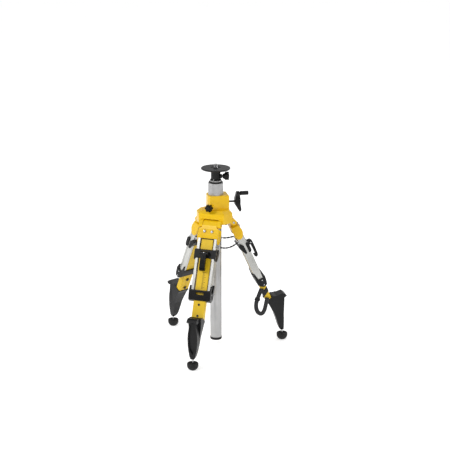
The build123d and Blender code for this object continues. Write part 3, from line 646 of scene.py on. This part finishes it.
STRAP_WIDTH = 18 * MM
STRAP_THICKNESS = 1.8 * MM
STRAP_SIDE = -30 * MM
STRAP_LOOP = [
    (189, 244),
    (175, 208),
    (165, 176),
    (170, 143),
    (191, 128),
    (204, 147),
    (210, 179),
    (215, 203),
]
STRAP_STATIONS = 60
STRAP_ACROSS_STEPS = 6
BAND_DROP = 347
BAND_RAKE = -0.6
BAND_HALF_WIDTH = 25.4
BAND_HALF_DEPTH = 12.9
BAND_CORNER = 3
BAND_CORNER_STEPS = 4
BAND_SECTION = ((0, -11), (1.6, -10.4), (1.9, -5), (1.9, 5), (1.6, 10.4), (0, 11))
KEEPER_PLACE = (172, 198)
KEEPER_TOWARD = (167, 184)
KEEPER_BODY = (2.4, 11, 6)
KEEPER_BAR = (3.1, 11.4, 1.1)
KEEPER_BAR_OFFSET = 3.2
KNOT_LOW = (-31.5, -19, 327)
KNOT_HIGH = (-27.4, -3, 345)
KNOT_FACE = -29 * MM


def beside_leg(side, radius, height, offset):
    """A point in a leg's upright plane, moved across the leg."""
    return leg_outward(side) * radius + UP * height + axis_of(f"leg_{side}_fold") * offset


def make_strap_loop():
    """The hand loop: flat webbing along the route, thinner towards its edges."""
    route = [beside_leg("right", r * MM, z * MM, STRAP_SIDE) for r, z in STRAP_LOOP]
    line = spline_points(route)
    across = axis_of("leg_right_fold")
    made = bmesh.new()
    rows = []
    for place, along in evenly(line, STRAP_STATIONS):
        side = along.cross(across).normalized()
        row = []
        for k in range(STRAP_ACROSS_STEPS + 1):
            share = k / STRAP_ACROSS_STEPS - 0.5
            half_thickness = STRAP_THICKNESS * (0.5 - 0.5 * abs(share) ** 3 * 4)
            row.append((place + side * share * STRAP_WIDTH, across * half_thickness))
        top = [made.verts.new(point + lift) for point, lift in row]
        under = [made.verts.new(point - lift) for point, lift in reversed(row)]
        rows.append(top + under)
    join_rings(made, rows)
    made.faces.new(rows[0])
    made.faces.new(reversed(rows[-1]))
    loop = mesh_from("strap_loop", made, WEBBING)
    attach(loop, "inner_right")
    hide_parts("carry_strap")


def make_strap_band():
    """The strap's turn round the profile, raked across its flanks."""
    outline = []
    for sx, sy, first in ((1, 1, 0), (-1, 1, 90), (-1, -1, 180), (1, -1, 270)):
        middle = (sx * (BAND_HALF_WIDTH - BAND_CORNER), sy * (BAND_HALF_DEPTH - BAND_CORNER))
        for step in range(BAND_CORNER_STEPS + 1):
            turn = math.radians(first + 90 * step / BAND_CORNER_STEPS)
            outline.append((middle, (math.cos(turn), math.sin(turn))))
    made = bmesh.new()
    columns = []
    for middle, away in outline:
        column = []
        for lift, drop in BAND_SECTION:
            x = middle[0] + away[0] * (BAND_CORNER + lift)
            y = middle[1] + away[1] * (BAND_CORNER + lift)
            place = Vector((x, y, BAND_DROP + BAND_RAKE * y + drop))
            column.append(made.verts.new(LEGS["right"] @ (place * MM)))
        columns.append(column)
    join_rings(made, columns + columns[:1])
    band = fixed(mesh_from("strap_band", made, WEBBING), "inner_right")
    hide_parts("carry_strap")


def beside_loop(radius, height):
    """A point in the upright plane of the strap's loop, in millimetres."""
    return beside_leg("right", radius * MM, height * MM, STRAP_SIDE)


def bar_into(made, half_sizes, middle=0):
    """A box about the z axis, moved along it."""
    x, y, z = half_sizes
    box_into(made, (-x, -y, middle - z), (x, y, middle + z))


def make_strap_keeper():
    """A moulded slider on the loop, and two bars across it."""
    place = beside_loop(*KEEPER_PLACE)
    along = (beside_loop(*KEEPER_TOWARD) - place).normalized()
    made = bmesh.new()
    bar_into(made, KEEPER_BODY)
    for middle in (-KEEPER_BAR_OFFSET, KEEPER_BAR_OFFSET):
        bar_into(made, KEEPER_BAR, middle)
    made.transform(frame_matrix(place, axis_of("leg_right_fold"), along))
    fixed(mesh_from("strap_keeper", made, NYLON, smooth=False), "inner_right")


def make_strap_knot():
    """The loop's two ends, folded over each other where they leave the band."""
    made = bmesh.new()
    box_into(made, KNOT_LOW, KNOT_HIGH)
    bmesh.ops.subdivide_edges(made, edges=made.edges[:], cuts=3, use_grid_fill=True)
    for vertex in made.verts:
        fold = math.sin(vertex.co.z * 330) * 0.7 * MM + math.sin(vertex.co.y * 410) * 0.5 * MM
        vertex.co.x -= fold if vertex.co.x < KNOT_FACE else 0
    bmesh.ops.bevel(made, geom=made.edges[:], offset=0.4 * MM, segments=1, affect="EDGES")
    made.transform(LEGS["right"])
    fixed(mesh_from("strap_knot", made, WEBBING), "inner_right")


make_strap_loop()
make_strap_band()
make_strap_knot()
make_strap_keeper()

# ------------------------------------------------------------------ screws, rivets and marks

OUT_OF_FRONT = (0, 1, 0)
OUT_OF_BACK = (0, -1, 0)
HEADS = {  # radius, height and recess, then the material and its slot
    "rivet_cap": (5.2, 1.6, 0.3, STEEL, "bright_steel"),
    "rivet_washer": (7.6, 0.9, 0.8, YELLOW_CAST, "yellow_enamel"),
    "profile_screw": (4.8, 1.6, 0.45, BLACK_STEEL, "black_steel"),
    "band_rivet": (2.6, 1.1, 0.35, STEEL, "bright_steel"),
    "clamp_rivet": (2.4, 0.9, 0.35, BLACK_STEEL, "black_nylon"),
    "lever_rivet": (2.5, 0.9, 0.35, STEEL, "bright_steel"),
}
RIVET_REACH = 16
RIVET_DROP = 30
RIVET_CAP_SEAT = 19.4
RIVET_WASHER_SEAT = 17.2
PROFILE_FACE = 12.5
PROFILE_SCREW_DROPS = (328.5, 373.6)
NUT_RADIUS = 7.6 * MM
NUT_HEIGHT = 4 * MM
BAND_FLANK = 46.5
BAND_RIVETS = ((6.6, 285), (6.4, 307))
CLAMP_FLANK = 46
CLAMP_RIVET = (13, 128)
LEVER_RIVET = (0, 40.4, 119)
# Corners in millimetres of the dark strip under each bracket, which paints the shade of the gap there.
SHADE_STRIP_LOW = (-26, 12.7, 56)
SHADE_STRIP_HIGH = (26, 15.4, 61.5)


def make_head(kind, side, mark, place, toward, body):
    """A rivet's or screw's head on a leg, at a place in millimetres across, out and down."""
    radius, height, recess, material, slot = HEADS[kind]
    seat = on_leg(side, *place, toward)
    head = capped_head(f"{kind}_{side}{mark}", seat, radius * MM, height * MM, material, recess)
    fixed(head, body)


def make_bracket_rivets(side):
    """The caps of the two rivets through the bracket, each on its washer."""
    for x in (-RIVET_REACH, RIVET_REACH):
        for kind, seat in (("rivet_cap", RIVET_CAP_SEAT), ("rivet_washer", RIVET_WASHER_SEAT)):
            make_head(kind, side, f"_{x}", (x, seat, RIVET_DROP), OUT_OF_FRONT, f"leg_{side}")


def make_profile_screws(side):
    """Screws in the front of the inner profile, with nuts behind it except under the strap's band."""
    body = f"inner_{side}"
    for drop in PROFILE_SCREW_DROPS:
        make_head("profile_screw", side, f"_{drop:.0f}", (0, PROFILE_FACE, drop), OUT_OF_FRONT, body)
        under_band = side == "right" and drop < BAND_DROP
        if not under_band:
            seat = on_leg(side, 0, -PROFILE_FACE, drop, OUT_OF_BACK)
            nut = hexagon_head(f"profile_nut_{side}_{drop:.0f}", seat, NUT_RADIUS, NUT_HEIGHT, BLACK_STEEL)
            fixed(nut, body)


def make_flank_rivets(side):
    """Rivets on both flanks of the lower band and of the clamp."""
    body = f"leg_{side}"
    for flank in (-1, 1):
        toward = (flank, 0, 0)
        for y, drop in BAND_RIVETS:
            make_head("band_rivet", side, f"_{flank}_{drop}", (flank * BAND_FLANK, y, drop), toward, body)
        make_head("clamp_rivet", side, f"_{flank}", (flank * CLAMP_FLANK, *CLAMP_RIVET), toward, body)


def make_painted_shade_strip(side):
    """A dark rubber strip under the bracket, against the front of the inner profile: painted shade, standing
    for the shadow in the gap under the bracket's front plate.
    """
    made = bmesh.new()
    box_into(made, SHADE_STRIP_LOW, SHADE_STRIP_HIGH)
    made.transform(LEGS[side])
    fixed(mesh_from(f"bracket_wiper_{side}", made, RUBBER, smooth=False), f"leg_{side}")


SCALE_TICKS = 14
SCALE_START = 196
SCALE_STEP = 5
SCALE_LINE = (0.6, 1.6)
SCALE_INK = (PROFILE_FACE - 0.05, PROFILE_FACE + 0.06)
TICK_START = 2
TICK_WIDTH = 1.3


def make_height_scale(side):
    """A printed scale on the front of the inner profile: a tick each 5 mm, longer ones each 10 and 20."""
    under, top = SCALE_INK
    made = bmesh.new()
    for tick in range(SCALE_TICKS):
        drop = SCALE_START + SCALE_STEP * tick
        reach = 11 if tick % 4 == 0 else 8 if tick % 2 == 0 else 5
        box_into(made, (TICK_START, under, drop), (TICK_START + reach, top, drop + TICK_WIDTH))
    line_start, line_end = SCALE_LINE
    last = SCALE_START + SCALE_STEP * SCALE_TICKS
    box_into(made, (line_start, under, SCALE_START - 2), (line_end, top, last - 2))
    made.transform(LEGS[side])
    fixed(mesh_from(f"height_scale_{side}", made, DARK_INK, smooth=False), f"inner_{side}")


INCH = 25.4 * MM
SCREW_RADIUS = 5 / 16 * INCH
SCREW_PITCH = INCH / 11
SCREW_LENGTH = 15 * MM
THREAD_DEPTH = 1.35 * MM
THREAD_SIDES = 48
THREAD_LEVELS = 112
CHAMFER = 1.2 * MM


def thread_radius(up, turned):
    """The thread's radius at a height above its foot and at a share of a turn."""
    phase = (up / SCREW_PITCH - turned) % 1
    groove = max(0, 1 - abs(phase - 0.5) * 2.6)
    return min(SCREW_RADIUS - THREAD_DEPTH * groove, SCREW_RADIUS - CHAMFER + (SCREW_LENGTH - up) * 0.9)


def make_instrument_screw():
    """The 5/8 inch screw with its 11-per-inch thread and a chamfered end, standing in the plate."""
    foot = cad_high.z - SCREW_LENGTH
    made = bmesh.new()
    rings = []
    for level in range(THREAD_LEVELS + 1):
        up = SCREW_LENGTH * level / THREAD_LEVELS
        ring = []
        for k in range(THREAD_SIDES):
            radius = thread_radius(up, k / THREAD_SIDES)
            turn = 2 * math.pi * k / THREAD_SIDES
            ring.append(made.verts.new((radius * math.cos(turn), radius * math.sin(turn), foot + up)))
        rings.append(ring)
    join_rings(made, rings)
    made.faces.new(rings[-1])
    made.faces.new(reversed(rings[0]))
    screw = fixed(mesh_from("threaded_screw", made, STEEL, smooth=False), "plate")
    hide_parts("instrument_screw")


KNOB_CAPS = (  # the knob, then its face's distance along the axis and the cap's radius
    ("column_lock", 8, 7.5),
    ("neck_lock", 14, 8.5),
)
CRANK_HUB_REACH = 109.4 * MM


def make_knob_caps():
    """A plain insert in the face of each star knob, and a screw in the middle of the crank's hub."""
    for body, reach, radius in KNOB_CAPS:
        joint = f"{body}_turn"
        axis = axis_of(joint)
        seat = frame_matrix(place_of(joint) + axis * reach * MM, UP, axis)
        fixed(capped_head(f"{body}_cap", seat, radius * MM, 1.3 * MM, NYLON, 0.7), body)
    outward = axis_of("grip_spin")
    seat = frame_matrix(place_of("crank_turn") + outward * CRANK_HUB_REACH, UP, outward)
    fixed(capped_head("crank_hub_screw", seat, 5.5 * MM, 2 * MM, BLACK_STEEL), "crank")


GRIP_RIBS = 6
GRIP_RIB_START = -12
GRIP_RIB_STEP = 6
GRIP_RIB_RADIUS = 8.6 * MM
GRIP_RIB_WIRE = 0.45 * MM
GRIP_RIB_SIDES = 32


def make_grip_ribs():
    """Low ribs round the crank's grip."""
    outward = axis_of("grip_spin")
    level = outward.cross(UP).normalized()
    made = bmesh.new()
    for k in range(GRIP_RIBS):
        centre = place_of("grip_spin") + outward * (GRIP_RIB_START + GRIP_RIB_STEP * k) * MM
        ring = []
        for step in range(GRIP_RIB_SIDES):
            turn = 2 * math.pi * step / GRIP_RIB_SIDES
            ring.append(centre + (level * math.cos(turn) + UP * math.sin(turn)) * GRIP_RIB_RADIUS)
        tube_along(made, ring, GRIP_RIB_WIRE, 8, closed=True)
    fixed(mesh_from("grip_ribs", made, NYLON), "grip")


for side in SIDES:
    make_bracket_rivets(side)
    make_profile_screws(side)
    make_flank_rivets(side)
    make_painted_shade_strip(side)
    make_head("lever_rivet", side, "", LEVER_RIVET, OUT_OF_FRONT, f"lever_{side}")
    make_height_scale(side)
make_instrument_screw()
make_knob_caps()
make_grip_ribs()

# ------------------------------------------------------------------ stage and light


def paper(name, colour, glow):
    """Matt paper of a grey tone, which gives off light of its own where glow isn't 0."""
    made = Shade(name, specular=0.1)
    tone = made.remap(made.noise(2, 2), 0.4, 0.6, 0, 1)
    darker = colour * 0.98
    made.color(made.mix(tone, (colour, colour, colour, 1), (darker, darker, darker, 1)))
    made.roughness(made.noise(30, 2), 0.9, 1.0)
    made.shader.inputs["Emission Color"].default_value = (1, 1, 1, 1)
    made.shader.inputs["Emission Strength"].default_value = glow
    return made.material


FLOOR_SIZE = 80
CARD_NEAR = 1.42
CARD_FAR = 4.2
CARD_STEP = 3
CARD_HEIGHT = 2 * MM
WORLD_LIGHT = 0.54
LAMP_AIM = Vector((0, 0, 0.4))
LAMPS = (  # name, place, size and power
    ("key", (-2.2, -3.0, 3.4), 1.2, 88),
    ("fill", (3.2, -2.2, 2.2), 1.6, 26),
    ("back", (0.5, 3.2, 3.0), 2.5, 34),
)


def make_floor():
    bpy.ops.mesh.primitive_plane_add(size=FLOOR_SIZE)
    floor = bpy.context.object
    floor.name = "floor"
    floor.data.materials.append(paper("white_paper", 0.9, 0.52))


def make_card(name, first, last):
    """A dark sector on the floor, for the metal to reflect. The camera sees its shadow, but not the card."""
    made = bmesh.new()
    ring = []
    out = range(first, last + 1, CARD_STEP)
    back = range(last, first - 1, -CARD_STEP)
    for radius, angles in ((CARD_NEAR, out), (CARD_FAR, back)):
        for angle in angles:
            turn = CAMERA_AZIMUTH + math.radians(angle)
            ring.append(made.verts.new((radius * math.sin(turn), -radius * math.cos(turn), CARD_HEIGHT)))
    made.faces.new(ring)
    card = mesh_from(name, made, paper(name, 0.03, 0.0), smooth=False)
    card.visible_camera = False


def make_world():
    world = bpy.data.worlds.new("studio")
    scene.world = world
    world.use_nodes = True
    background = world.node_tree.nodes["Background"]
    background.inputs["Color"].default_value = (1, 1, 1, 1)
    background.inputs["Strength"].default_value = WORLD_LIGHT


def make_lamps():
    for name, place, size, power in LAMPS:
        light = bpy.data.lights.new(name, "AREA")
        light.size = size
        light.energy = power
        lamp = bpy.data.objects.new(name, light)
        lamp.location = place
        lamp.rotation_euler = (LAMP_AIM - Vector(place)).to_track_quat("-Z", "Y").to_euler()
        scene.collection.objects.link(lamp)


make_floor()
make_card("card_left", -52, -22)
make_card("card_right", 26, 50)
make_world()
make_lamps()
scene.view_settings.view_transform = "Standard"
scene.view_settings.look = "None"
